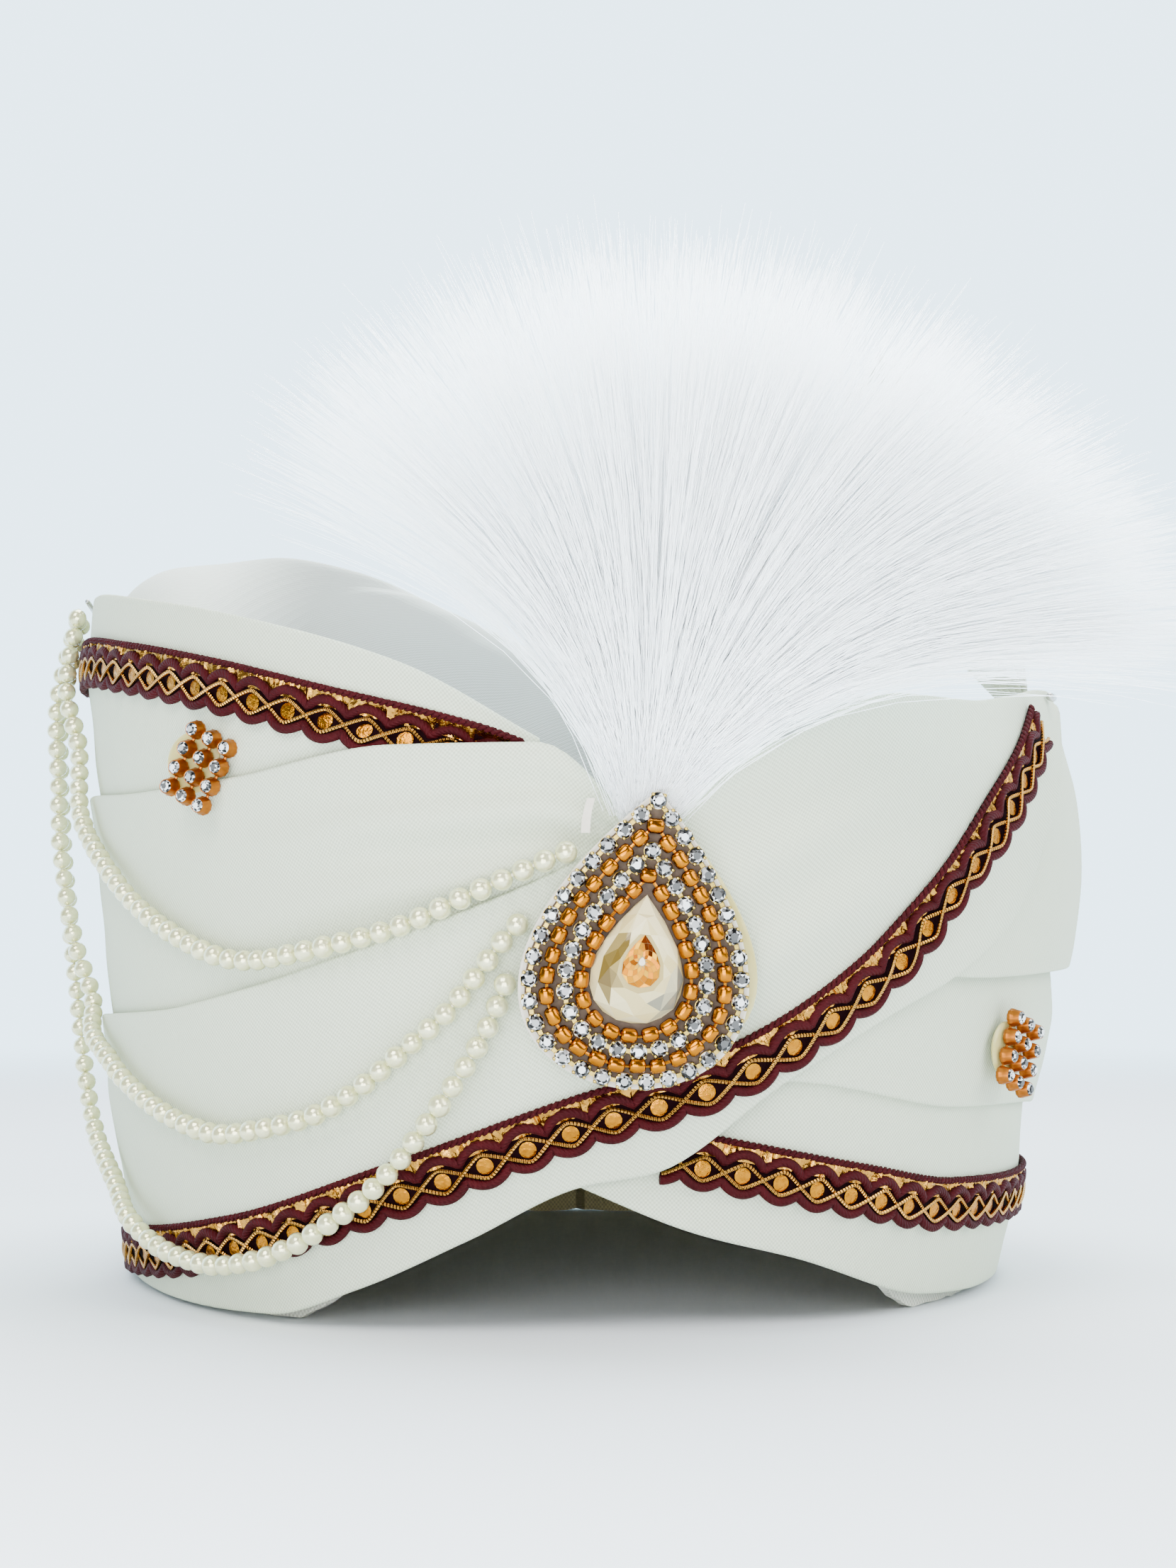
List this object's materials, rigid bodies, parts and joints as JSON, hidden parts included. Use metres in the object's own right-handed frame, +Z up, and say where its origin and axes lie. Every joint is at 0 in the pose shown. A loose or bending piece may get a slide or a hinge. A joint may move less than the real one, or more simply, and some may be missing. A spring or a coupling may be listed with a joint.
{
  "type": "tied turban pagri",
  "caption": "Ready-tied cream turban with crossed pleated wraps, braided trim, pearl strings, a bristle plume over a teardrop brooch and an upright pleated tail.",
  "frame": {"origin": "middle of the head opening, on the plane that the rim rests on", "axes": "+Z up, the front with the brooch faces -Y, +X to the right of someone who faces the front"},
  "size_m": [0.2119, 0.2431, 0.1863],
  "materials": {
    "cotton": "fine plain weave, matt",
    "gauze": "coarse white gauze",
    "braid": "maroon gimp cord with gold wire and foil",
    "pearl": "wrinkled pearl coat",
    "bristle": "fine white translucent fibres",
    "gold": "gold-plated cup chain with clear stones",
    "stone": "champagne cut stone, foiled",
    "copper": "copper-plated cups with clear stones",
    "glue": "translucent yellowed glue",
    "steel": "plain pin"
  },
  "bodies": {
    "root": {"lining": "gauze", "crown": "cotton", "upper_wrap": "cotton", "middle_wrap": "cotton", "lower_wrap": "cotton", "trim_upper": "braid", "trim_lower": "braid", "turra": "cotton", "pearl_string_short": "pearl", "pearl_string_middle": "pearl", "pearl_string_long": "pearl", "plume": "bristle", "brooch_pad": "glue", "brooch_backing": "gold", "brooch_ring_outer": "gold", "brooch_ring_inner": "gold", "centre_stone": "stone", "ornament_left": "copper", "ornament_left_pad": "glue", "ornament_right": "copper", "ornament_right_pad": "glue", "string_pin": "steel", "shoulder_pin": "steel"}
  },
  "joints": []
}
